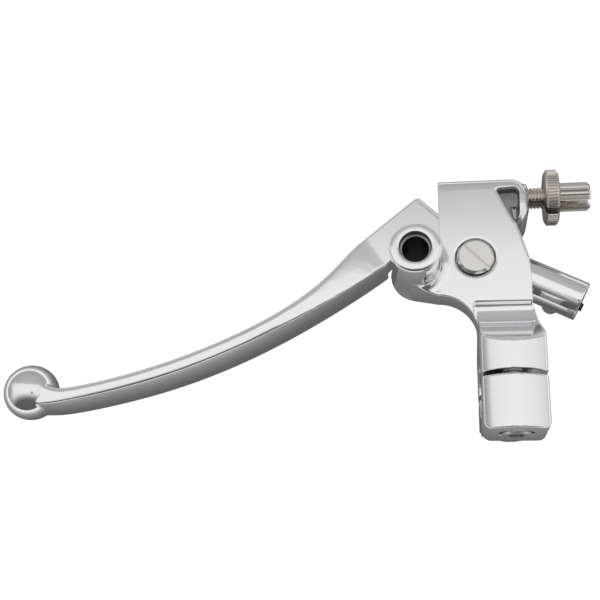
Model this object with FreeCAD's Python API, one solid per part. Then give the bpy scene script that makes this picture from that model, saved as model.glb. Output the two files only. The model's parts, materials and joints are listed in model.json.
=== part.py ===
import FreeCAD, Part
import math
import os

V = FreeCAD.Vector

# A left-hand clutch lever: perch with bar clamp and mirror boss, lever, cable adjuster, clutch switch.
# Millimetres. +X runs along the handlebar towards its centre, +Y away from the rider, +Z up.
# Each piece is drawn from the lever pivot, midway between the two lugs of the perch. The finished
# pieces are then moved so that the origin is on the handlebar's axis, at the middle of the clamp.

# ---- driving dimensions -------------------------------------------------------------------
PLATE_TOP = 11.5          # top face of the perch, and by symmetry the lower lug's bottom
GAP_HALF = 5.6            # half the slot that the lever swings in
WEB_BOTTOM = 0.5          # underside of the web that carries the mirror boss

BAR_R = 11.11             # 7/8 inch handlebar
BAR_Y = -45.85            # bar axis and clamp split plane
SPLIT_GAP = 0.7
CLAMP_X = 11.0            # middle of the clamp's width
CLAMP_HALF = 10.8         # half the clamp's width
CLAMP_TOP = 27.6
CROWN_R = 15.0            # the clamp's ends are arched across their width
CROWN_EDGE_R = 1.8
CAP_END_Y = -64.2
CAP_FOOT_Y = -56.2
BOLT_Z = 16.0

MIRROR_AT = (-20.6, -2.5)
MIRROR_TOP = 30.0
MIRROR_COLLAR_R = 9.1
MIRROR_COLLAR = 3.8       # height of the collar, with its slanted underside
MIRROR_NECK_R = 8.1
MIRROR_BASE_R = 9.9
MIRROR_BASE_RISE = 9.5    # height over which the base narrows to the neck
MIRROR_MINOR_R = 4.35     # M10 x 1.25 tapping size
MIRROR_RIM_R = 1.5
FLARE_R = 3.8

HUB_R = 9.0
HUB_TOP = 5.4
HUB_BOTTOM = -5.0
BUSH_R = 5.5
SHOULDER_R = 4.0
BUSH_BORE_R = 4.04

CABLE_Y = 27.0            # cable and adjuster axis, at mid height
THREAD_R = 3.95           # M8 adjuster thread, just under size
THREAD_PITCH = 1.25
WALL_X = (15.6, 20.0)     # the wall the adjuster screws into

TUBE_FROM = V(0, 5.0, 0)  # switch axis starts beside the pivot
TUBE_DIR = V(math.cos(math.radians(-27)), math.sin(math.radians(-27)), 0)
TUBE_R = 7.15
TUBE_BORE_R = 5.6
TUBE_END = 41.5           # distance of the tube's mouth along its axis
TUBE_FLOOR = 17.0         # distance of the bottom of its bore
PLUNGER_TIP = 11.05

M6_R = 3.0
Z_AXIS = V(0, 0, 1)


# ---- small helpers ------------------------------------------------------------------------
def ring_of(points, lift):
    """Closed wire through flat points; a (middle, end) pair of points is an arc. lift places a point."""
    edges = []
    here = lift(*points[0])
    for step in list(points[1:]) + [points[0]]:
        if isinstance(step[0], tuple):
            middle, end = lift(*step[0]), lift(*step[1])
            edges.append(Part.Arc(here, middle, end).toShape())
        else:
            end = lift(*step)
            edges.append(Part.makeLine(here, end))
        here = end
    return Part.Wire(edges)


def prism(points, z0, z1):
    """Extrude an (x, y) outline upwards."""
    face = Part.Face(ring_of(points, lambda x, y: V(x, y, z0)))
    return face.extrude(V(0, 0, z1 - z0))


def block(x0, x1, y0, y1, z0, z1):
    return Part.makeBox(x1 - x0, y1 - y0, z1 - z0, V(x0, y0, z0))


def rod(radius, start, direction, length):
    return Part.makeCylinder(radius, length, start, direction)


def post(radius, x, y, z0, z1):
    return rod(radius, V(x, y, z0), Z_AXIS, z1 - z0)


def on_circle(centre, radius, degrees):
    a = math.radians(degrees)
    return (centre[0] + radius * math.cos(a), centre[1] + radius * math.sin(a))


def side_profile(points, x0, x1):
    """Extrude a (y, z) outline along X."""
    face = Part.Face(ring_of(points, lambda y, z: V(x0, y, z)))
    return face.extrude(V(x1 - x0, 0, 0))


def fuse(shapes):
    return shapes[0].multiFuse(shapes[1:]).removeSplitter()


def turned(profile, start, direction):
    """Revolve an (along, radius) outline about a line from start in a given direction."""
    face = Part.Face(ring_of(profile, lambda a, r: V(r, 0, a)))
    solid = face.revolve(V(0, 0, 0), Z_AXIS, 360)
    solid.Placement = FreeCAD.Placement(start, FreeCAD.Rotation(Z_AXIS, direction))
    return Part.makeSolid(solid) if solid.ShapeType != "Solid" else solid


def edges_where(shape, test):
    return [e for e in shape.Edges if test(e)]


def at_height(edge, z):
    box = edge.BoundBox
    return abs(box.ZMin - z) < 0.01 and abs(box.ZMax - z) < 0.01


def along(distance, side=0.0, up=0.0):
    """Point at a distance along the switch axis."""
    return TUBE_FROM + TUBE_DIR * distance + V(-TUBE_DIR.y, TUBE_DIR.x, 0) * side + V(0, 0, up)


# ---- perch --------------------------------------------------------------------------------
FRONT_Y = 31.5
LEFT_X = -12.6
ARC_CENTRE = (-13.5, -27.6)
ARC_R = 13.7
STEP_Y = -17.1            # where the plate steps down in front of the clamp
VALLEY_Y = -19.2
VALLEY_Z = 9.9
SWEEP_R = 8.0             # hollow that leads up from the valley to the clamp's slope
SLOPE = math.radians(57)
CLAMP_LEFT = CLAMP_X - CLAMP_HALF
CLAMP_RIGHT = CLAMP_X + CLAMP_HALF

PERCH_PLAN = [
    (LEFT_X, FRONT_Y),
    (12.9, FRONT_Y),
    ((18.0, 29.4), (WALL_X[1], 24.2)),
    (WALL_X[1], 20.5),
    ((18.6, 16.2), (14.9, 13.0)),
    (18.9, -0.6),
    (19.2, -17.0),
    (CLAMP_RIGHT, -29.0),
    (CLAMP_RIGHT, BAR_Y + 1),
    (CLAMP_LEFT, BAR_Y + 1),
    (CLAMP_LEFT, ARC_CENTRE[1]),
    (on_circle(ARC_CENTRE, ARC_R, 45), (ARC_CENTRE[0], ARC_CENTRE[1] + ARC_R)),
    (ARC_CENTRE[0], MIRROR_AT[1]),
    (LEFT_X, MIRROR_AT[1]),
]


def sweep_point(angle):
    """Point (y, z) on the hollow in front of the clamp, where its slope has a given angle."""
    return (VALLEY_Y - SWEEP_R * math.sin(angle), VALLEY_Z + SWEEP_R * (1 - math.cos(angle)))


def boss_tangent(radius):
    """Where a line from the plate's rear arc touches a circle about the mirror boss."""
    x, y = ARC_CENTRE[0] - MIRROR_AT[0], ARC_CENTRE[1] + ARC_R - MIRROR_AT[1]
    angle = math.degrees(math.atan2(y, x) - math.acos(radius / math.hypot(x, y)))
    return on_circle(MIRROR_AT, radius, angle)


def upper_plate():
    plate = prism(PERCH_PLAN, WEB_BOTTOM, PLATE_TOP)
    front = edges_where(plate, lambda e: at_height(e, PLATE_TOP) and e.BoundBox.YMin > 20.4
                        and e.BoundBox.XMax > LEFT_X + 1)
    plate = plate.makeFillet(4.8, front)
    step = side_profile([(STEP_Y + 1.6, PLATE_TOP + 1), (STEP_Y + 1.6, PLATE_TOP),
                         ((STEP_Y + 0.7, PLATE_TOP - 0.25), (STEP_Y, PLATE_TOP - 0.9)),
                         ((STEP_Y - 0.9, VALLEY_Z + 0.2), (VALLEY_Y, VALLEY_Z)),
                         (-60, VALLEY_Z), (-60, PLATE_TOP + 1)], CLAMP_LEFT - 1.5, 30)
    return plate.cut(step)


def boss_web():
    """Joins the boss to the plate; its rear wall runs tangent to the boss from bottom to top."""
    levels = ((WEB_BOTTOM, MIRROR_BASE_R), (PLATE_TOP, MIRROR_NECK_R))
    start = (ARC_CENTRE[0], ARC_CENTRE[1] + ARC_R)
    wires = []
    for z, radius in levels:
        corners = [start, boss_tangent(radius), MIRROR_AT, (ARC_CENTRE[0], MIRROR_AT[1])]
        wires.append(ring_of(corners, lambda x, y: V(x, y, z)))
    return Part.makeLoft(wires, True, True)


def lower_lug():
    kept = fuse([
        block(13.2, 30, -60, 60, -PLATE_TOP, WEB_BOTTOM),
        block(4.0, 30, 0, 60, -PLATE_TOP, WEB_BOTTOM),
        post(12.5, 0, 0, -PLATE_TOP, WEB_BOTTOM),
        prism([(3, -11), (14, -8), (25, -50), (CLAMP_LEFT, -50), (CLAMP_LEFT, -26)],
              -PLATE_TOP, WEB_BOTTOM),
    ])
    return prism(PERCH_PLAN, -PLATE_TOP, WEB_BOTTOM).common(kept)


def clamp_envelope(y0, y1):
    """The clamp seen along Y: straight flanks and an arched end above and below."""
    shoulder = CLAMP_TOP - CROWN_R + math.sqrt(CROWN_R ** 2 - CLAMP_HALF ** 2)
    outline = [(CLAMP_LEFT, shoulder), ((CLAMP_X, CLAMP_TOP), (CLAMP_RIGHT, shoulder)),
               (CLAMP_RIGHT, -shoulder), ((CLAMP_X, -CLAMP_TOP), (CLAMP_LEFT, -shoulder))]
    envelope = Part.Face(ring_of(outline, lambda x, z: V(x, y0, z))).extrude(V(0, y1 - y0, 0))
    corners = edges_where(envelope, lambda e: e.BoundBox.YLength > y1 - y0 - 0.01)
    return envelope.makeFillet(CROWN_EDGE_R, corners)


def perch_clamp_half():
    split = BAR_Y + SPLIT_GAP / 2
    foot = sweep_point(SLOPE)
    crest = foot[0] - (CLAMP_TOP - foot[1]) / math.tan(SLOPE)
    outline = [(split, CLAMP_TOP), (crest, CLAMP_TOP), foot,
               (sweep_point(SLOPE / 2), (VALLEY_Y, VALLEY_Z)), (-16.0, VALLEY_Z),
               (-16.0, -PLATE_TOP), (-24.0, -PLATE_TOP), (-31.0, -CLAMP_TOP), (split, -CLAMP_TOP)]
    half = side_profile(outline, CLAMP_LEFT, CLAMP_RIGHT)
    return half.common(clamp_envelope(-60, 0)).common(prism(PERCH_PLAN, -30, 30))


def mirror_boss():
    """Boss with a wide base, a narrower neck and a collar with a rounded rim."""
    height = MIRROR_TOP - WEB_BOTTOM
    under = height - MIRROR_COLLAR
    rim = MIRROR_RIM_R * (1 - math.sqrt(0.5))
    outline = [
        (0, 0), (0, MIRROR_BASE_R),
        ((MIRROR_BASE_RISE * 0.45, MIRROR_NECK_R + 0.6), (MIRROR_BASE_RISE, MIRROR_NECK_R)),
        (under, MIRROR_NECK_R), (under + 0.7, MIRROR_COLLAR_R), (height - MIRROR_RIM_R, MIRROR_COLLAR_R),
        ((height - rim, MIRROR_COLLAR_R - rim), (height, MIRROR_COLLAR_R - MIRROR_RIM_R)), (height, 0),
    ]
    return turned(outline, V(*MIRROR_AT, WEB_BOTTOM), Z_AXIS)


def boss_flare():
    """Concave sweep from the plate's top up the side of the mirror boss."""
    reach = MIRROR_NECK_R + FLARE_R
    middle = FLARE_R * (1 - math.sqrt(0.5))
    outline = [(-1.0, 5.5), (-1.0, reach), (0, reach),
               ((middle, MIRROR_NECK_R + middle), (FLARE_R, MIRROR_NECK_R)), (FLARE_R, 5.5)]
    flare = turned(outline, V(*MIRROR_AT, PLATE_TOP), Z_AXIS)
    over_plate = prism([MIRROR_AT, boss_tangent(MIRROR_NECK_R), (ARC_CENTRE[0], ARC_CENTRE[1] + ARC_R),
                        (0, -14), (0, 14), (LEFT_X, 14), (LEFT_X, MIRROR_AT[1])],
                       PLATE_TOP - 1, MIRROR_TOP)
    return flare.common(over_plate)


def lever_slot():
    return prism([(-45, -12.9), (13.2, -12.9), (13.2, 11.0), (WALL_X[0], 13.5), (WALL_X[0], 50),
                  (-45, 50)], -GAP_HALF, GAP_HALF)


# Beside the adjuster's wall the plate has a pocket, with an opening down to the cable.
POCKET_PLAN = [(8.2, 26.4), (14.6, 26.8), ((15.9, 26.2), (16.4, 24.8)), (16.2, 16.8), (14.5, 12.6)]
POCKET_OPENING = [(13.2, 20.8), (15.5, 21.2), (15.5, 16.6), (14.9, 15.8)]
POCKET_FLOOR = 6.6


def perch_holes():
    x, y = MIRROR_AT
    split = BAR_Y + SPLIT_GAP / 2
    cuts = [
        prism(POCKET_PLAN, POCKET_FLOOR, PLATE_TOP + 1),
        prism(POCKET_OPENING, GAP_HALF - 0.1, POCKET_FLOOR + 0.1),
        post(7.0, 0, 0, 8.5, PLATE_TOP + 1),
        post(SHOULDER_R + 0.05, 0, 0, 0, PLATE_TOP),
        post(M6_R + 0.2, 0, 0, -PLATE_TOP - 1, 0),
        rod(BAR_R, V(-5, BAR_Y, 0), V(1, 0, 0), 40),
        post(MIRROR_MINOR_R, x, y, -1, MIRROR_TOP + 1),
        post(5.5, x, y, MIRROR_TOP - 2.5, MIRROR_TOP + 1),
        rod(THREAD_R + 0.05, V(WALL_X[0] - 2, CABLE_Y, 0), V(1, 0, 0), 20),
        rod(TUBE_BORE_R, along(TUBE_FLOOR), TUBE_DIR, 40),
        rod(2.5, along(5), TUBE_DIR, 20),
        rod(1.25, along(31.5, -1.2, -16), Z_AXIS, 14),
        rod(1.6, along(31.5, -1.2, -16), Z_AXIS, 3.0),
    ]
    for z in (BOLT_Z, -BOLT_Z):
        cuts.append(rod(M6_R + 0.03, V(CLAMP_X, split - 1, z), V(0, 1, 0), 16.5))
    return cuts


def perch_body():
    tube = rod(TUBE_R, along(TUBE_FLOOR - 4), TUBE_DIR, TUBE_END - TUBE_FLOOR + 4)
    screw_boss = rod(3.2, along(31.5, -1.2, -14.6), Z_AXIS, 12)
    body = fuse([upper_plate(), lower_lug(), perch_clamp_half(), tube, screw_boss])
    body = body.cut(lever_slot())
    wall = WALL_X[1] - WALL_X[0]
    adjuster_boss = turned([(0, 0), (0, 5.6), (wall - 0.8, 5.6), (wall, 4.9), (wall, 0)],
                           V(WALL_X[0], CABLE_Y, 0), V(1, 0, 0))
    body = fuse([body, boss_web(), mirror_boss(), boss_flare(), adjuster_boss])
    for cut in perch_holes():
        body = body.cut(cut)
    return body


# ---- clamp cap and its bolts --------------------------------------------------------------
BOLT_SEATS = {BOLT_Z: -57.2, -BOLT_Z: -52.2}
BOLT_LENGTH = 20.0
HEAD_R = 5.0
HEAD_HEIGHT = 6.0
WASHER_THICK = 1.6


def clamp_cap():
    split = BAR_Y - SPLIT_GAP / 2
    corner = 3.0
    diagonal = corner * (1 - math.sqrt(0.5))
    plan = [
        (CLAMP_LEFT, split), (CLAMP_LEFT, CAP_END_Y + corner),
        ((CLAMP_LEFT + diagonal, CAP_END_Y + diagonal), (CLAMP_LEFT + corner, CAP_END_Y)),
        (CLAMP_RIGHT - corner, CAP_END_Y),
        ((CLAMP_RIGHT - diagonal, CAP_END_Y + diagonal), (CLAMP_RIGHT, CAP_END_Y + corner)),
        (CLAMP_RIGHT, split),
    ]
    around_bar = rod(15.8, V(CLAMP_LEFT, BAR_Y, 0), V(1, 0, 0), 2 * CLAMP_HALF)
    side = fuse([
        block(CLAMP_LEFT, CLAMP_RIGHT, CAP_END_Y, split, 4.0, CLAMP_TOP),
        around_bar.common(block(-5, 30, -80, split, -30, 30)),
        block(CLAMP_LEFT, CLAMP_RIGHT, CAP_FOOT_Y, split, -CLAMP_TOP, -6.0),
    ])
    cap = side.common(clamp_envelope(-70, -40)).common(prism(plan, -30, 30))
    cap = cap.cut(rod(BAR_R, V(-5, BAR_Y, 0), V(1, 0, 0), 40))
    for z, seat in BOLT_SEATS.items():
        cap = cap.cut(rod(M6_R + 0.3, V(CLAMP_X, -70, z), V(0, 1, 0), 40))
        cap = cap.cut(rod(5.75, V(CLAMP_X, seat, z), V(0, -1, 0), 20))
    return cap


def clamp_bolts():
    """Two hexagon socket screws, pointing away from the rider."""
    bolts = []
    for z, seat in BOLT_SEATS.items():
        under_head = V(CLAMP_X, seat - WASHER_THICK, z)
        outline = [(-HEAD_HEIGHT, 0), (-HEAD_HEIGHT, HEAD_R - 0.5), (-HEAD_HEIGHT + 0.5, HEAD_R),
                   (0, HEAD_R), (0, M6_R), (BOLT_LENGTH - 0.6, M6_R), (BOLT_LENGTH, M6_R - 0.6),
                   (BOLT_LENGTH, 0)]
        bolt = turned(outline, under_head, V(0, 1, 0))
        corners = [V(*on_circle((0, 0), 2.9, 60 * i), 0) for i in range(6)]
        socket = Part.Face(Part.makePolygon(corners + corners[:1])).extrude(V(0, 0, 3.5))
        socket.Placement = FreeCAD.Placement(under_head - V(0, HEAD_HEIGHT, 0),
                                             FreeCAD.Rotation(Z_AXIS, V(0, 1, 0)))
        bolts.append(bolt.cut(socket))
    return Part.makeCompound(bolts)


def clamp_spring_washers():
    """Split washers under the two bolt heads."""
    washers = []
    for z, seat in BOLT_SEATS.items():
        start = V(CLAMP_X, seat, z)
        ring = rod(5.0, start, V(0, -1, 0), WASHER_THICK)
        ring = ring.cut(rod(M6_R + 0.15, start, V(0, -1, 0), WASHER_THICK))
        gap = block(CLAMP_X - 0.4, CLAMP_X + 0.4, seat - 3, seat + 1, z, z + 7)
        washers.append(ring.cut(gap))
    return Part.makeCompound(washers)


# ---- lever --------------------------------------------------------------------------------
# Along the blade: where its rear top edge is, its heading in degrees, its depth towards the front,
# its top and bottom heights, and how far its rear face bulges towards the rider.
BLADE = [
    (-161.5, -50.0, 5.0, 9.5, 7.6, -7.6, 1.6),
    (-157.5, -49.9, 6.2, 8.2, 7.6, -7.6, 1.9),
    (-152.5, -49.4, 7.8, 5.8, 7.6, -7.6, 2.2),
    (-145.0, -48.2, 10.0, 4.9, 7.7, -7.7, 2.3),
    (-130.0, -45.0, 14.0, 4.8, 7.8, -7.8, 2.4),
    (-110.0, -39.4, 18.6, 4.9, 7.9, -7.9, 2.5),
    (-80.0, -27.4, 24.9, 5.1, 7.9, -8.0, 2.4),
    (-65.0, -19.9, 28.0, 6.0, 7.6, -8.2, 2.0),
    (-52.0, -12.6, 30.8, 8.2, 7.0, -8.6, 1.5),
    (-42.0, -6.4, 33.1, 11.0, 6.3, -9.2, 1.1),
    (-32.0, 0.5, 35.7, 13.0, HUB_TOP, -9.8, 0.8),
]
FRONT_EDGE_R = 2.0
ROOT_FRONT_R = 0.5
UNDER_R = 3.2            # round below the bulge
RIDGE_DROP = 0.45        # the top is arched, so its rear edge is lower than the rest
ROOT_FLATTEN = 1.5       # this far above the hub's top the blade has its full roundness
ROOT_TAPER = 9.0         # length over which the underside rises to the hub's bottom
BALL_AT = V(-164.5, -44.1, 0)
BALL_R = 10.2
BALL_FLAT_R = 1.0        # small flat at the very tip
ROOT_CORNER = (-19.8, 27.5)
ROOT_SHOULDER = (-0.5, 9.0)
ROOT_BEVEL = 1.5
NIPPLE_AT = (-19.5, 17.8)
NOSE_AT = on_circle((0, 0), 9.6, 35)
HEEL_AT = on_circle((0, 0), 10.9, -45)


def blade_section(x, y, heading, depth, top, bottom, bulge):
    """Closed wire across the blade: arched top, bulging rear face, rounded front."""
    a = math.radians(heading)
    forward = V(-math.sin(a), math.cos(a), 0)
    share = min(1.0, (top - HUB_TOP) / ROOT_FLATTEN)
    front = ROOT_FRONT_R + (FRONT_EDGE_R - ROOT_FRONT_R) * share
    drop = RIDGE_DROP * share + 0.01
    under = UNDER_R
    k = math.sqrt(0.5)
    ridge = (0, top - drop)
    widest = (-bulge, bottom + under)
    outline = [
        (depth - front, bottom),
        ((depth - front + front * k, bottom + front - front * k), (depth, bottom + front)),
        (depth, top - front),
        ((depth - front + front * k, top - front + front * k), (depth - front, top)),
        (((depth - front) * 0.5, top - drop * 0.2), ridge),
        ((-bulge * 0.78, (ridge[1] + widest[1]) / 2), widest),
        ((-bulge + under - under * k, bottom + under - under * k), (-bulge + under, bottom)),
    ]
    return ring_of(outline, lambda f, z: V(x, y, z) + forward * f)


def root_taper():
    """Wedge that carries the blade's deep underside up to the bottom of the thin root."""
    x, y, heading, depth, _, bottom, _ = BLADE[-1]
    a = math.radians(heading)
    inward, forward = V(math.cos(a), math.sin(a), 0), V(-math.sin(a), math.cos(a), 0)
    start = V(x, y, 0) + forward * UNDER_R - inward * 0.3
    corners = [start + inward * u + Z_AXIS * z
               for u, z in ((0, HUB_BOTTOM), (0, bottom), (0.3, bottom), (ROOT_TAPER, HUB_BOTTOM))]
    face = Part.Face(Part.makePolygon(corners + corners[:1]))
    return face.extrude(forward * (depth - 2 * UNDER_R))


def root_bevel():
    """Wedge that takes the top edge off the lever's root, along the side next to the plate."""
    start, end = V(*ROOT_CORNER, HUB_TOP), V(*ROOT_SHOULDER, HUB_TOP)
    run = (end - start).normalize()
    outward = V(-run.y, run.x, 0)
    first = start - run * 3
    corners = [first + outward * u + Z_AXIS * w
               for u, w in ((-ROOT_BEVEL - 1, 1), (1, -ROOT_BEVEL - 1), (1, 1))]
    face = Part.Face(Part.makePolygon(corners + corners[:1]))
    return face.extrude(run * (start.distanceToPoint(end) + 3))


def lever_root():
    """The thin part of the lever that enters the perch, seen in plan."""
    a = math.radians(BLADE[-1][2])
    rear = BLADE[-1][:2]
    front = (rear[0] - math.sin(a) * BLADE[-1][3], rear[1] + math.cos(a) * BLADE[-1][3])
    boss_clear = MIRROR_BASE_R + 0.35
    outline = [rear, front, ROOT_CORNER, ROOT_SHOULDER, (0, 0), (-8.9, 1.0),
               on_circle(MIRROR_AT, boss_clear + 1.2, 40),
               (on_circle(MIRROR_AT, boss_clear + 0.05, 85), on_circle(MIRROR_AT, boss_clear, 125))]
    root = prism(outline, HUB_BOTTOM, HUB_TOP)
    tip = edges_where(root, lambda e: abs(e.BoundBox.XMin - ROOT_CORNER[0]) < 0.01
                      and e.BoundBox.XMax < ROOT_CORNER[0] + 0.01)
    return root.makeFillet(1.0, tip).cut(root_bevel())


def lug(centre, radius):
    """Rounded arm from the hub out to a circle."""
    length = math.hypot(*centre)
    arm = block(0, length, -radius, radius, HUB_BOTTOM, HUB_TOP)
    arm.rotate(V(0, 0, 0), Z_AXIS, math.degrees(math.atan2(centre[1], centre[0])))
    return [arm, post(radius, *centre, HUB_BOTTOM, HUB_TOP)]


def ball_end():
    """Ball turned about the blade's own direction, so that its inner end lies within the blade."""
    reach = math.sqrt(BALL_R ** 2 - BALL_FLAT_R ** 2)
    outline = [(-reach, 0), (-reach, BALL_FLAT_R), ((0, BALL_R), (reach, BALL_FLAT_R)), (reach, 0)]
    heading = math.radians(BLADE[0][2])
    return turned(outline, BALL_AT, V(-math.cos(heading), -math.sin(heading), 0))


def lever():
    sections = [blade_section(*row) for row in BLADE]
    blade = Part.makeLoft(sections, True)
    hub = post(HUB_R, 0, 0, HUB_BOTTOM, HUB_TOP)
    body = fuse([blade, ball_end(), lever_root(), root_taper(), hub]
                + lug(NOSE_AT, 2.6) + lug(HEEL_AT, 2.5))
    x, y = NIPPLE_AT
    body = body.cut(post(BUSH_R, 0, 0, -20, 20))
    body = body.cut(post(4.1, x, y, HUB_BOTTOM - 1, 3.0))
    slot = prism([(x, y - 1.4), (x + 30, y + 5.2), (x + 26, y + 16.4), (x, y + 1.4)],
                 HUB_BOTTOM - 1, 1.4)
    return body.cut(slot)


# ---- pivot --------------------------------------------------------------------------------
def pivot_bush():
    outline = [(0, BUSH_BORE_R), (0, BUSH_R), (HUB_TOP - HUB_BOTTOM, BUSH_R),
               (HUB_TOP - HUB_BOTTOM, BUSH_BORE_R)]
    return turned(outline, V(0, 0, HUB_BOTTOM), Z_AXIS)


def pivot_washer():
    outline = [(0, SHOULDER_R + 0.1), (0, 8.0), (0.5, 8.0), (0.5, SHOULDER_R + 0.1)]
    return turned(outline, V(0, 0, -GAP_HALF), Z_AXIS)


def pivot_screw():
    seat, head_top, head_r, chamfer = 8.5, PLATE_TOP + 1.4, 6.5, 0.9
    tip = -PLATE_TOP - 7.0
    outline = [(tip, 0), (tip, M6_R - 0.5), (tip + 0.5, M6_R), (-GAP_HALF, M6_R),
               (-GAP_HALF, SHOULDER_R), (seat, SHOULDER_R), (seat, head_r),
               (head_top - chamfer, head_r), (head_top, head_r - chamfer), (head_top, 0)]
    screw = turned(outline, V(0, 0, 0), Z_AXIS)
    slot = block(-10, 10, -0.65, 0.65, head_top - 1.8, head_top + 1)
    slot.rotate(V(0, 0, 0), Z_AXIS, -46)
    return screw.cut(slot)


NUT_HEIGHT = 6.0
INSERT_Z = (-PLATE_TOP - 5.6, -PLATE_TOP - 4.0)
INSERT_R = 3.9


def pivot_nut():
    """Self-locking M6 nut, with a recess for its nylon ring."""
    corners = [V(*on_circle((0, 0), 5.77, 60 * i), -PLATE_TOP) for i in range(6)]
    nut = Part.Face(Part.makePolygon(corners + corners[:1])).extrude(V(0, 0, -NUT_HEIGHT))
    nut = nut.cut(post(M6_R + 0.02, 0, 0, -30, 0))
    return nut.cut(post(INSERT_R + 0.02, 0, 0, -30, INSERT_Z[1]))


def pivot_nut_insert():
    ring = post(INSERT_R, 0, 0, *INSERT_Z)
    return ring.cut(post(M6_R + 0.01, 0, 0, -30, 0))


# ---- cable adjuster -----------------------------------------------------------------------
WHEEL_X = (26.0, 31.0)
WHEEL_R = 10.3
WHEEL_TEETH = 60
BARREL_X = (31.4, 42.3)
BARREL_R = 5.3
BARREL_RIDGES = 20
SLOT_ANGLE = 52          # cable slots face up and towards the rider, measured from +Z
CABLE_SLOT = 2.4


def ridged_disc(radius, depth, count, x0, x1):
    """Straight-knurled disc about the cable axis."""
    points = []
    for i in range(count):
        for share, r in ((0, radius - depth), (0.3, radius), (0.7, radius)):
            a = 2 * math.pi * (i + share) / count
            points.append(V(x0, CABLE_Y + r * math.sin(a), r * math.cos(a)))
    return Part.Face(Part.makePolygon(points + points[:1])).extrude(V(x1 - x0, 0, 0))


def cable_slot(x0, x1, reach):
    slot = block(x0, x1, CABLE_Y - CABLE_SLOT / 2, CABLE_Y + CABLE_SLOT / 2, 0, reach)
    slot.rotate(V(0, CABLE_Y, 0), V(1, 0, 0), SLOT_ANGLE)
    return slot


def about_cable(outline):
    """Revolve an (x, radius) outline about the cable axis."""
    return turned(outline, V(0, CABLE_Y, 0), V(1, 0, 0))


def adjuster_barrel():
    x0, x1 = BARREL_X
    start, root = 14.5, THREAD_R - 0.65
    threads = int((x0 - start) / THREAD_PITCH)
    outline = [(start, 0)]
    for i in range(threads):
        x = start + i * THREAD_PITCH
        outline += [(x, root), (x + THREAD_PITCH * 0.45, THREAD_R), (x + THREAD_PITCH * 0.6, THREAD_R)]
    outline += [(start + threads * THREAD_PITCH, root), (x0 + 0.5, root), (x0 + 0.5, 0)]
    bevel = about_cable([(x0, 0), (x0, BARREL_R - 0.4), (x0 + 0.5, BARREL_R + 0.1),
                         (x1 - 1.0, BARREL_R + 0.1), (x1, BARREL_R - 0.9), (x1, 0)])
    head = ridged_disc(BARREL_R, 0.35, BARREL_RIDGES, x0, x1).common(bevel)
    barrel = fuse([about_cable(outline), head])
    barrel = barrel.cut(rod(1.6, V(0, CABLE_Y, 0), V(1, 0, 0), 60))
    barrel = barrel.cut(rod(3.1, V(x1 - 8.0, CABLE_Y, 0), V(1, 0, 0), 20))
    return barrel.cut(cable_slot(0, 60, 20))


def adjuster_lock_wheel():
    x0, x1 = WHEEL_X
    bevel = about_cable([(x0, 0), (x0, WHEEL_R - 1.2), (x0 + 0.9, WHEEL_R + 0.1),
                         (x1 - 0.9, WHEEL_R + 0.1), (x1, WHEEL_R - 1.2), (x1, 0)])
    wheel = ridged_disc(WHEEL_R, 0.45, WHEEL_TEETH, x0, x1).common(bevel)
    wheel = wheel.cut(rod(THREAD_R + 0.04, V(0, CABLE_Y, 0), V(1, 0, 0), 60))
    return wheel.cut(cable_slot(0, 60, 20))


# ---- clutch switch ------------------------------------------------------------------------
# Distances along the switch axis, with the plunger out.
PLUNGER_TRAVEL = 1.6
FLANGE_END = 22.4
PLATE_AT = 29.9
SPIGOT_R = 0.8
TERMINAL_AT = 32.2
TERMINAL_END = 40.8
TAB_SIDE = -1.9
TERMINAL_SIDES = (-1.4, 1.4)
BASE_AT = 33.6


def switch_placement(distance, side=0.0):
    """Turns X to sideways, Y to upwards and Z to along the switch axis."""
    sideways = V(-TUBE_DIR.y, TUBE_DIR.x, 0)
    return FreeCAD.Placement(along(distance, side), FreeCAD.Rotation(sideways, Z_AXIS, TUBE_DIR, "ZXY"))


def on_tube(outline):
    """Revolve a (distance, radius) outline about the switch axis."""
    return turned(outline, TUBE_FROM, TUBE_DIR)


def switch_housing():
    outer = TUBE_BORE_R - 0.05
    return on_tube([(TUBE_FLOOR, 2.05), (TUBE_FLOOR, outer), (39.5, outer), (39.5, 4.2),
                    (20.0, 4.2), (20.0, 2.05)]).cut(rod(1.3, along(31.5, -1.2, -16), Z_AXIS, 15))


def switch_plunger():
    """Pin with a flange for the spring and a stem that ends in a spigot for the contact plate."""
    return on_tube([(PLUNGER_TIP, 0), (PLUNGER_TIP, 1.4), (PLUNGER_TIP + 0.6, 2.0), (20.4, 2.0),
                    (20.4, 4.1), (FLANGE_END, 4.1), (FLANGE_END, 1.6), (PLATE_AT, 1.6),
                    (PLATE_AT, SPIGOT_R), (PLATE_AT + 0.8, SPIGOT_R), (PLATE_AT + 0.8, 0)])


def switch_contact_plate():
    """Ring that bridges the two terminals when the plunger is pushed in."""
    return on_tube([(PLATE_AT, SPIGOT_R + 0.02), (PLATE_AT, 2.4), (PLATE_AT + 0.6, 2.4),
                    (PLATE_AT + 0.6, SPIGOT_R + 0.02)])


def switch_spring():
    """Return spring, at its length with the plunger pushed in. The wire has twelve flats."""
    wire_r, mean_r, turns, clearance, flats = 0.3, 3.1, 7, 0.05, 12
    first = FLANGE_END + PLUNGER_TRAVEL + wire_r + clearance
    length = BASE_AT - wire_r - clearance - first
    helix = Part.makeHelix(length / turns, length, mean_r)
    ring = [on_circle((mean_r, 0), wire_r, 360 / flats * i) for i in range(flats)]
    corners = [V(x, 0, z) for x, z in ring]
    section = Part.makePolygon(corners + corners[:1])
    spring = Part.Wire(helix.Edges).makePipeShell([section], True, True)
    spring.Placement = FreeCAD.Placement(along(first), FreeCAD.Rotation(Z_AXIS, TUBE_DIR))
    return spring


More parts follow.
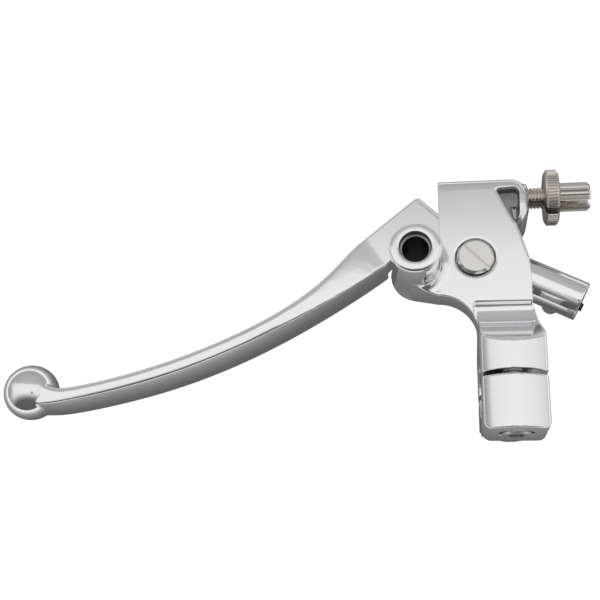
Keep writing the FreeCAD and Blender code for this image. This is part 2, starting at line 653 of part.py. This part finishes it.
def switch_contact_base():
    base = on_tube([(BASE_AT, 0), (BASE_AT, 4.15), (39.0, 4.15), (39.0, 0)])
    for side in TERMINAL_SIDES:
        base = base.cut(terminal_shape(side, 0.03))
    return base


def terminal_shape(side, grow=0.0):
    """Flat terminal blade standing upright beside the switch axis."""
    thick, high = 0.8 + 2 * grow, 2.4 + 2 * grow
    length = TERMINAL_END - TERMINAL_AT + grow
    blade = Part.makeBox(thick, high, length, V(-thick / 2, -high / 2, 0))
    blade.Placement = switch_placement(TERMINAL_AT, side)
    return blade


def switch_terminals():
    return Part.makeCompound([terminal_shape(side) for side in TERMINAL_SIDES])


def switch_end_cover():
    """Cap inside the tube's mouth, over the terminals, with one small pull tab."""
    cover = on_tube([(39.55, 0), (39.55, 5.5), (TUBE_END - 0.5, 5.5), (TUBE_END, 5.0), (TUBE_END, 0)])
    tab = Part.makeBox(2.4, 2.0, 3.0, V(-1.2, -1.0, 0))
    tab.Placement = switch_placement(TUBE_END - 2.0, TAB_SIDE)
    cover = fuse([cover, tab])
    for side in TERMINAL_SIDES:
        cover = cover.cut(terminal_shape(side, 0.05))
    return cover


def switch_retaining_screw():
    x, y = along(31.5, -1.2).x, along(31.5, -1.2).y
    outline = [(-16.6, 0), (-16.6, 2.0), (-16.2, 2.4), (-14.65, 2.4), (-14.65, 1.2), (-4.6, 1.2),
               (-4.6, 0)]
    screw = turned(outline, V(x, y, 0), Z_AXIS)
    return screw.cut(block(x - 3, x + 3, y - 0.3, y + 0.3, -17.0, -15.9))


NODES = {
    "perch_body": perch_body,
    "clamp_cap": clamp_cap,
    "clamp_bolts": clamp_bolts,
    "clamp_spring_washers": clamp_spring_washers,
    "lever": lever,
    "pivot_bush": pivot_bush,
    "pivot_washer": pivot_washer,
    "pivot_screw": pivot_screw,
    "pivot_nut": pivot_nut,
    "pivot_nut_insert": pivot_nut_insert,
    "adjuster_barrel": adjuster_barrel,
    "adjuster_lock_wheel": adjuster_lock_wheel,
    "switch_housing": switch_housing,
    "switch_plunger": switch_plunger,
    "switch_contact_plate": switch_contact_plate,
    "switch_spring": switch_spring,
    "switch_contact_base": switch_contact_base,
    "switch_terminals": switch_terminals,
    "switch_end_cover": switch_end_cover,
    "switch_retaining_screw": switch_retaining_screw,
}


if __name__ == "__main__":
    os.makedirs("parts", exist_ok=True)
    for name, make in NODES.items():
        shape = make()
        shape.translate(V(-CLAMP_X, -BAR_Y, 0))
        print(name, shape.ShapeType, len(shape.Solids), round(shape.Volume, 1), shape.isValid())
        shape.exportStep("parts/" + name + ".step")
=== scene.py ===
import json
import math

import bpy
from mathutils import Matrix, Vector


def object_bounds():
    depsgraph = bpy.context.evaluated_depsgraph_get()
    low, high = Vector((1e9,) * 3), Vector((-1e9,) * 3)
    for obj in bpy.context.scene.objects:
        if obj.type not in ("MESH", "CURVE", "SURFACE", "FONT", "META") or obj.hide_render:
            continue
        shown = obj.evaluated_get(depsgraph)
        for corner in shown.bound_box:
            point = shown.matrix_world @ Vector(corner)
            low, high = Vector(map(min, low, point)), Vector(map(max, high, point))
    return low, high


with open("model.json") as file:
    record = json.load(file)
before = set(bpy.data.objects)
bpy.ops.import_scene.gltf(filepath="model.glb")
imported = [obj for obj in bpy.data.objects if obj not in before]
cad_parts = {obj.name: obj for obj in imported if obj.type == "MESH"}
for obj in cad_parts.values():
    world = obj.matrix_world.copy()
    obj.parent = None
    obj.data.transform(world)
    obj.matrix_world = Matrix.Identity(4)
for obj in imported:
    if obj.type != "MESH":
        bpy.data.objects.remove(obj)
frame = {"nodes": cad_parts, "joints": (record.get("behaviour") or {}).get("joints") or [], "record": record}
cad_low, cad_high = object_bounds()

MM = 0.001
NODES = frame["nodes"]

# ---- camera ---------------------------------------------------------------------------------
# Above the rider's side of the lever, looking down and slightly away from the rider.
PIVOT = Vector(next(j for j in frame["joints"] if j["name"] == "lever_pivot")["pos_m"])
CAMERA_AT = PIVOT + Vector((-11.68, -130.34, 348.5)) * MM
CAMERA_RIGHT = Vector((0.98968, 0.02087, -0.14178))
CAMERA_DOWN = Vector((-0.02618, -0.94635, -0.32209))
CAMERA_FORWARD = Vector((-0.14089, 0.32247, -0.93603))
SENSOR_MM = 36.0
LENS_MM = 60.36

# ---- polished surfaces ----------------------------------------------------------------------
# Cast pieces are ground and polished before plating, so every edge is soft.
CAST_GRAIN = {"perch_body": 0.36 * MM, "clamp_cap": 0.34 * MM, "lever": 0.36 * MM}
CAST_SMOOTHING = {"perch_body": 4, "clamp_cap": 4, "lever": 6}
TURNED_EDGE = {
    "pivot_screw": 0.12 * MM,
    "adjuster_lock_wheel": 0.07 * MM,
    "adjuster_barrel": 0.07 * MM,
}
SHARP_ANGLE = math.radians(32)
WELD_REACH = 0.001 * MM


def node_tree(name):
    """A new material's node tree, emptied, with its output node."""
    material = bpy.data.materials.new(name)
    material.use_nodes = True
    tree = material.node_tree
    tree.nodes.clear()
    return material, tree, tree.nodes.new("ShaderNodeOutputMaterial")


def noise(tree, scale, detail=3.0, stretch=None):
    """Noise in the row frame; stretch scales its three axes."""
    coords = tree.nodes.new("ShaderNodeTexCoord")
    mapping = tree.nodes.new("ShaderNodeMapping")
    mapping.inputs["Scale"].default_value = stretch or (1.0, 1.0, 1.0)
    texture = tree.nodes.new("ShaderNodeTexNoise")
    texture.inputs["Scale"].default_value = scale
    texture.inputs["Detail"].default_value = detail
    tree.links.new(coords.outputs["Object"], mapping.inputs["Vector"])
    tree.links.new(mapping.outputs["Vector"], texture.inputs["Vector"])
    return texture.outputs["Fac"]


def spread(tree, value, low, high):
    """Maps a value between 0.3 and 0.7 to low..high."""
    ramp = tree.nodes.new("ShaderNodeMapRange")
    ramp.inputs["From Min"].default_value = 0.3
    ramp.inputs["From Max"].default_value = 0.7
    ramp.inputs["To Min"].default_value = low
    ramp.inputs["To Max"].default_value = high
    tree.links.new(value, ramp.inputs["Value"])
    return ramp.outputs["Result"]


def combined(tree, operation, a, b, c=None):
    node = tree.nodes.new("ShaderNodeMath")
    node.operation = operation
    for socket, value in zip(node.inputs, (a, b, c)):
        if isinstance(value, (int, float)):
            socket.default_value = value
        elif value is not None:
            tree.links.new(value, socket)
    return node.outputs["Value"]


def tinted(tree, value, dark, light):
    mix = tree.nodes.new("ShaderNodeMix")
    mix.data_type = "RGBA"
    mix.inputs["A"].default_value = (*dark, 1.0)
    mix.inputs["B"].default_value = (*light, 1.0)
    tree.links.new(value, mix.inputs["Factor"])
    return mix.outputs["Result"]


def bumped(tree, heights, distance, strength):
    """Normal from one or more height outputs, each on top of the last."""
    normal = None
    for height in heights:
        bump = tree.nodes.new("ShaderNodeBump")
        bump.inputs["Distance"].default_value = distance
        bump.inputs["Strength"].default_value = strength
        tree.links.new(height, bump.inputs["Height"])
        if normal:
            tree.links.new(normal, bump.inputs["Normal"])
        normal = bump.outputs["Normal"]
    return normal


def surface(name, dark, light, rough, metallic, grain, bump_mm, strength, stretch=None):
    """Procedural material: colour, roughness and bump all vary over the surface."""
    material, tree, output = node_tree(name)
    shader = tree.nodes.new("ShaderNodeBsdfPrincipled")
    shader.inputs["Metallic"].default_value = metallic
    patches = noise(tree, 60.0)
    fine = noise(tree, grain, 6.0, stretch)
    tree.links.new(tinted(tree, patches, dark, light), shader.inputs["Base Color"])
    tree.links.new(spread(tree, patches, *rough), shader.inputs["Roughness"])
    normal = bumped(tree, [fine], bump_mm * MM, strength)
    tree.links.new(normal, shader.inputs["Normal"])
    tree.links.new(shader.outputs["BSDF"], output.inputs["Surface"])
    return material


def vector_steps(tree, value, steps):
    """Runs a vector through operations, each with an optional second vector."""
    for operation, operand in steps:
        node = tree.nodes.new("ShaderNodeVectorMath")
        node.operation = operation
        tree.links.new(value, node.inputs[0])
        if operand is not None:
            node.inputs[1].default_value = operand
        value = node.outputs["Value" if operation == "LENGTH" else "Vector"]
    return value


def place(tree):
    return tree.nodes.new("ShaderNodeTexCoord").outputs["Object"]


def metal_shader(tree, roughness):
    shader = tree.nodes.new("ShaderNodeBsdfPrincipled")
    shader.inputs["Metallic"].default_value = 1.0
    shader.inputs["Roughness"].default_value = roughness
    return shader


def replace_inside(tree, inside, shader):
    """Where inside is 1, another shader takes the place of the material's own."""
    output = next(n for n in tree.nodes if n.type == "OUTPUT_MATERIAL")
    own = output.inputs["Surface"].links[0].from_socket
    mix = tree.nodes.new("ShaderNodeMixShader")
    tree.links.new(inside, mix.inputs["Fac"])
    tree.links.new(own, mix.inputs[1])
    tree.links.new(shader.outputs["BSDF"], mix.inputs[2])
    tree.links.new(mix.outputs["Shader"], output.inputs["Surface"])


# Painted shade for a tapped hole: near-black inside its thread and a lighter grey at its mouth, which is a
# little wider than its thread.
BORE_MARGIN = 1.30
BORE_DEEP = 0.81          # share of that radius within which it is darkest
BORE_BLEND = 0.04
BORE_ROUGH = 0.55
BORE_SHADE_TONES = ((0.03, 0.03, 0.03), (0.09, 0.09, 0.09))
BORE_MOUTH_SHADE = (0.42, 0.42, 0.43, 1.0)
BORE_GRAIN = 900.0


def paint_bore_shade(material, mount):
    """Painted shade inside a vertical tapped hole: within the hole's radius the chrome gives way to a dark
    metal.
    """
    tree = material.node_tree
    radius = mount["dims"]["r_mm"] * MM * BORE_MARGIN
    steps = (("SUBTRACT", mount["pos_m"]), ("MULTIPLY", (1.0, 1.0, 0.0)), ("LENGTH", None))
    distance = vector_steps(tree, place(tree), steps)
    depth = tree.nodes.new("ShaderNodeMapRange")
    depth.inputs["From Min"].default_value = radius * BORE_DEEP
    depth.inputs["From Max"].default_value = radius * (BORE_DEEP + BORE_BLEND)
    tree.links.new(distance, depth.inputs["Value"])
    mouth = tree.nodes.new("ShaderNodeMix")
    mouth.data_type = "RGBA"
    mouth.inputs["B"].default_value = BORE_MOUTH_SHADE
    speckled_shade = tinted(tree, noise(tree, BORE_GRAIN), *BORE_SHADE_TONES)
    tree.links.new(speckled_shade, mouth.inputs["A"])
    tree.links.new(depth.outputs["Result"], mouth.inputs["Factor"])
    # painted shade: a dark metal takes the chrome's place inside the hole
    shaded_metal = metal_shader(tree, BORE_ROUGH)
    tree.links.new(mouth.outputs["Result"], shaded_metal.inputs["Base Color"])
    replace_inside(tree, combined(tree, "LESS_THAN", distance, radius), shaded_metal)


# The pocket beside the adjuster's wall is left as cast: rough, grey and unpolished.
POCKET_AT = PIVOT + Vector((12.3, 19.6, 6.6)) * MM
POCKET_HALF = Vector((4.5, 7.6, 3.2)) * MM
POCKET_ROUGH = 0.5
POCKET_TONES = ((0.22, 0.22, 0.22), (0.52, 0.52, 0.52))
POCKET_GRAIN = 1400.0
POCKET_GRAIN_DETAIL = 5.0
POCKET_BUMP = 0.15 * MM
POCKET_BUMP_STRENGTH = 0.6


def roughen_pocket(material):
    tree = material.node_tree
    steps = (("SUBTRACT", POCKET_AT), ("ABSOLUTE", None), ("DIVIDE", POCKET_HALF))
    split = tree.nodes.new("ShaderNodeSeparateXYZ")
    tree.links.new(vector_steps(tree, place(tree), steps), split.inputs["Vector"])
    widest = combined(tree, "MAXIMUM", split.outputs["X"], split.outputs["Y"])
    widest = combined(tree, "MAXIMUM", widest, split.outputs["Z"])
    cast = metal_shader(tree, POCKET_ROUGH)
    grain = noise(tree, POCKET_GRAIN, POCKET_GRAIN_DETAIL)
    tree.links.new(tinted(tree, grain, *POCKET_TONES), cast.inputs["Base Color"])
    tree.links.new(bumped(tree, [grain], POCKET_BUMP, POCKET_BUMP_STRENGTH), cast.inputs["Normal"])
    replace_inside(tree, combined(tree, "LESS_THAN", widest, 1.0), cast)


BRUSHED = (1.0, 14.0, 1.0)          # stretch of the fine noise, for a brushed look
BRUSHED_LEVER = (1.0, 6.0, 1.0)


MATERIALS = {
    "perch_chrome": surface("perch_chrome", (0.80, 0.80, 0.81), (0.86, 0.86, 0.87), (0.07, 0.14),
                            1.0, 900.0, 0.02, 0.10, BRUSHED),
    "cap_chrome": surface("cap_chrome", (0.80, 0.80, 0.81), (0.86, 0.86, 0.87), (0.07, 0.13),
                          1.0, 900.0, 0.02, 0.08),
    "lever_chrome": surface("lever_chrome", (0.79, 0.79, 0.80), (0.85, 0.85, 0.86), (0.09, 0.16),
                            1.0, 900.0, 0.02, 0.10, BRUSHED_LEVER),
    "pivot_steel": surface("pivot_steel", (0.74, 0.73, 0.71), (0.82, 0.81, 0.79), (0.18, 0.30),
                           1.0, 1800.0, 0.02, 0.25),
    "bolt_steel": surface("bolt_steel", (0.50, 0.50, 0.49), (0.66, 0.65, 0.63), (0.28, 0.42),
                          1.0, 2200.0, 0.02, 0.30),
    "adjuster_nickel": surface("adjuster_nickel", (0.58, 0.55, 0.50), (0.74, 0.71, 0.66),
                               (0.16, 0.30), 1.0, 1600.0, 0.02, 0.25),
    "bronze": surface("bronze", (0.45, 0.28, 0.12), (0.62, 0.42, 0.20), (0.35, 0.5),
                      1.0, 2600.0, 0.03, 0.5),
    "switch_plastic": surface("switch_plastic", (0.012, 0.012, 0.013), (0.03, 0.03, 0.032),
                              (0.42, 0.62), 0.0, 2600.0, 0.03, 0.5),
    "plunger_plastic": surface("plunger_plastic", (0.74, 0.73, 0.68), (0.84, 0.83, 0.79),
                               (0.35, 0.5), 0.0, 2400.0, 0.02, 0.3),
    "spring_steel": surface("spring_steel", (0.42, 0.42, 0.43), (0.6, 0.6, 0.61), (0.22, 0.34),
                            1.0, 2400.0, 0.02, 0.25),
    "terminal_brass": surface("terminal_brass", (0.62, 0.45, 0.18), (0.78, 0.60, 0.30),
                              (0.2, 0.34), 1.0, 2200.0, 0.02, 0.25),
    "cover_rubber": surface("cover_rubber", (0.02, 0.02, 0.02), (0.045, 0.045, 0.045),
                            (0.55, 0.75), 0.0, 2400.0, 0.04, 0.6),
    "insert_nylon": surface("insert_nylon", (0.05, 0.11, 0.40), (0.09, 0.17, 0.52),
                            (0.35, 0.5), 0.0, 2400.0, 0.02, 0.3),
}


MIRROR_HOLE = next(m for m in frame["record"]["mounts"] if m["name"] == "mirror_hole")
# painted shade inside the mirror hole
paint_bore_shade(MATERIALS["perch_chrome"], MIRROR_HOLE)
roughen_pocket(MATERIALS["perch_chrome"])


def dress_nodes():
    """Each CAD node takes the material of the slot that the record names for it."""
    for part in frame["record"]["subparts"]:
        node, slot = NODES[part["node"]], part["material_slot"]
        node.data.materials.clear()
        node.data.materials.append(MATERIALS[slot])


def weld(node):
    """CAD faces arrive apart from each other; this joins them along their edges."""
    modifier = node.modifiers.new("weld", "WELD")
    modifier.merge_threshold = WELD_REACH


def polish(node, grain, passes):
    """Rounds all edges as polishing does: an even fine mesh, then smoothed."""
    weld(node)
    remesh = node.modifiers.new("even_mesh", "REMESH")
    remesh.mode = "VOXEL"
    remesh.voxel_size = grain
    remesh.use_smooth_shade = True
    smooth = node.modifiers.new("polish", "SMOOTH")
    smooth.factor = 0.5
    smooth.iterations = passes


def round_edges(node, width):
    weld(node)
    bevel = node.modifiers.new("edges", "BEVEL")
    bevel.width = width
    bevel.segments = 2
    bevel.limit_method = "ANGLE"
    bevel.angle_limit = SHARP_ANGLE
    bevel.harden_normals = True


def finish_edges():
    for name, grain in CAST_GRAIN.items():
        polish(NODES[name], grain, CAST_SMOOTHING[name])
    for name, width in TURNED_EDGE.items():
        round_edges(NODES[name], width)


# ---- stage ----------------------------------------------------------------------------------
FLOOR_GAP = 0.4 * MM
FLOOR_SIZE = 6.0
FLOOR_SEEN = 1.0
FLOOR_GLOW = 0.93        # share of the floor's light that doesn't depend on the lamps
# painted shade: reflections show the floor darker close to the object than far away
FLOOR_NEAR_SHADE = 0.14        # how bright reflections show it close to the object, and far away
FLOOR_FAR = 1.05
FLOOR_REACH = (0.03, 0.20)


def floor_material():
    """Pale to the eye; to every other ray it is dimmer, so that the chrome keeps its greys. Seen in
    reflections it is painted darker close to the object, as painted shade, and brighter far away.
    """
    material, tree, output = node_tree("floor")
    path = tree.nodes.new("ShaderNodeLightPath")
    seen = tree.nodes.new("ShaderNodeMixShader")
    seen.inputs["Fac"].default_value = FLOOR_GLOW
    pale = tree.nodes.new("ShaderNodeBsdfDiffuse")
    pale.inputs["Color"].default_value = (FLOOR_SEEN, FLOOR_SEEN, FLOOR_SEEN, 1.0)
    glow = tree.nodes.new("ShaderNodeEmission")
    glow.inputs["Strength"].default_value = 1.0 / FLOOR_GLOW
    dim = tree.nodes.new("ShaderNodeEmission")
    # painted shade: the floor's glow to other rays grows with ray length, darkest close to the object
    path_length = tree.nodes.new("ShaderNodeMapRange")
    path_length.inputs["From Min"].default_value = FLOOR_REACH[0]
    path_length.inputs["From Max"].default_value = FLOOR_REACH[1]
    path_length.inputs["To Min"].default_value = FLOOR_NEAR_SHADE
    path_length.inputs["To Max"].default_value = FLOOR_FAR
    tree.links.new(path.outputs["Ray Length"], path_length.inputs["Value"])
    tree.links.new(path_length.outputs["Result"], dim.inputs["Strength"])
    mix = tree.nodes.new("ShaderNodeMixShader")
    tree.links.new(pale.outputs["BSDF"], seen.inputs[1])
    tree.links.new(glow.outputs["Emission"], seen.inputs[2])
    tree.links.new(path.outputs["Is Camera Ray"], mix.inputs["Fac"])
    tree.links.new(dim.outputs["Emission"], mix.inputs[1])
    tree.links.new(seen.outputs["Shader"], mix.inputs[2])
    tree.links.new(mix.outputs["Shader"], output.inputs["Surface"])
    return material


def floor():
    z = cad_low[2] - FLOOR_GAP
    half = FLOOR_SIZE / 2
    mesh = bpy.data.meshes.new("floor")
    corners = [(-half, -half, z), (half, -half, z), (half, half, z), (-half, half, z)]
    mesh.from_pydata(corners, [], [(0, 1, 2, 3)])
    plane = bpy.data.objects.new("floor", mesh)
    bpy.context.scene.collection.objects.link(plane)
    mesh.materials.append(floor_material())


# Brightness by the height of the direction looked in, from level to straight up.
SKY = [(0.0, 0.80), (0.12, 1.0), (0.5, 1.12), (1.0, 1.25)]
# Directions in which the studio is darker: where to, between which two cosines, and by how much.
DARK_SIDES = [
    (Vector((0.0, -1.0, 0.10)).normalized(), (0.25, 0.75), 0.86),
    (Vector((0.0, 1.0, 0.0)), (0.34, 0.45), 0.46),
    (Vector((-1.0, 0.0, -0.05)).normalized(), (0.80, 0.98), 0.55),
]


def facing(tree, direction, towards, reach):
    """0..1 as a direction swings towards another, between two cosines."""
    dot = tree.nodes.new("ShaderNodeVectorMath")
    dot.operation = "DOT_PRODUCT"
    dot.inputs[1].default_value = towards
    step = tree.nodes.new("ShaderNodeMapRange")
    step.interpolation_type = "SMOOTHSTEP"
    step.inputs["From Min"].default_value = reach[0]
    step.inputs["From Max"].default_value = reach[1]
    tree.links.new(direction, dot.inputs[0])
    tree.links.new(dot.outputs["Value"], step.inputs["Value"])
    return step.outputs["Result"]


def brightness_ramp(tree, value, stops):
    ramp = tree.nodes.new("ShaderNodeValToRGB")
    elements = ramp.color_ramp.elements
    elements.remove(elements[1])
    for i, (place, light) in enumerate(stops):
        element = elements[0] if i == 0 else elements.new(place)
        element.position = place
        element.color = (light, light, light, 1.0)
    tree.links.new(value, ramp.inputs["Fac"])
    return ramp.outputs["Color"]


def studio():
    world = bpy.data.worlds.new("studio")
    bpy.context.scene.world = world
    world.use_nodes = True
    tree = world.node_tree
    tree.nodes.clear()
    output = tree.nodes.new("ShaderNodeOutputWorld")
    background = tree.nodes.new("ShaderNodeBackground")
    direction = tree.nodes.new("ShaderNodeTexCoord").outputs["Generated"]
    split = tree.nodes.new("ShaderNodeSeparateXYZ")
    tree.links.new(direction, split.inputs["Vector"])
    light = brightness_ramp(tree, split.outputs["Z"], SKY)
    for towards, reach, dimming in DARK_SIDES:
        side = facing(tree, direction, towards, reach)
        kept = combined(tree, "MULTIPLY_ADD", side, -dimming, 1.0)
        light = combined(tree, "MULTIPLY", light, kept)
    tree.links.new(light, background.inputs["Strength"])
    tree.links.new(background.outputs["Background"], output.inputs["Surface"])


# Lamps aimed at the origin: name, place, size of the panel, power.
LAMPS = [
    ("key", (-0.45, 0.55, 0.65), (0.35, 0.35), 2.0),
    ("fill", (0.6, -0.5, 0.7), (0.5, 0.4), 1.5),
]


def softbox(name, at, size, power):
    """Lights the matt pieces only; polished ones don't reflect it."""
    data = bpy.data.lights.new(name, "AREA")
    data.shape = "RECTANGLE"
    data.size, data.size_y = size
    data.energy = power
    lamp = bpy.data.objects.new(name, data)
    lamp.location = at
    lamp.rotation_euler = (-Vector(at)).to_track_quat("-Z", "Y").to_euler()
    lamp.visible_glossy = False
    bpy.context.scene.collection.objects.link(lamp)


OPENING_R = 34 * MM
OPENING_BEHIND = 25 * MM
OPENING_SIDES = 48
OPENING_TONE = (0.02, 0.02, 0.02, 1.0)


def camera_opening():
    """The dark opening that the camera looks through, seen only in reflections."""
    bpy.ops.mesh.primitive_circle_add(vertices=OPENING_SIDES, radius=OPENING_R, fill_type="NGON")
    disc = bpy.context.object
    disc.name = "camera_opening"
    rotation = Matrix((CAMERA_RIGHT, -CAMERA_DOWN, -CAMERA_FORWARD)).transposed().to_4x4()
    disc.matrix_world = Matrix.Translation(CAMERA_AT - CAMERA_FORWARD * OPENING_BEHIND) @ rotation
    material, tree, output = node_tree("opening")
    dark = tree.nodes.new("ShaderNodeEmission")
    dark.inputs["Color"].default_value = OPENING_TONE
    tree.links.new(dark.outputs["Emission"], output.inputs["Surface"])
    disc.data.materials.append(material)
    disc.visible_shadow = False
    disc.visible_diffuse = False


def camera():
    data = bpy.data.cameras.new("camera")
    data.sensor_width = SENSOR_MM
    data.lens = LENS_MM
    data.clip_start = 0.01
    view = bpy.data.objects.new("camera", data)
    rotation = Matrix((CAMERA_RIGHT, -CAMERA_DOWN, -CAMERA_FORWARD)).transposed().to_4x4()
    view.matrix_world = Matrix.Translation(CAMERA_AT) @ rotation
    bpy.context.scene.collection.objects.link(view)
    bpy.context.scene.camera = view


dress_nodes()
finish_edges()
floor()
studio()
for lamp in LAMPS:
    softbox(*lamp)
camera_opening()
camera()
bpy.context.scene.view_settings.view_transform = "Standard"
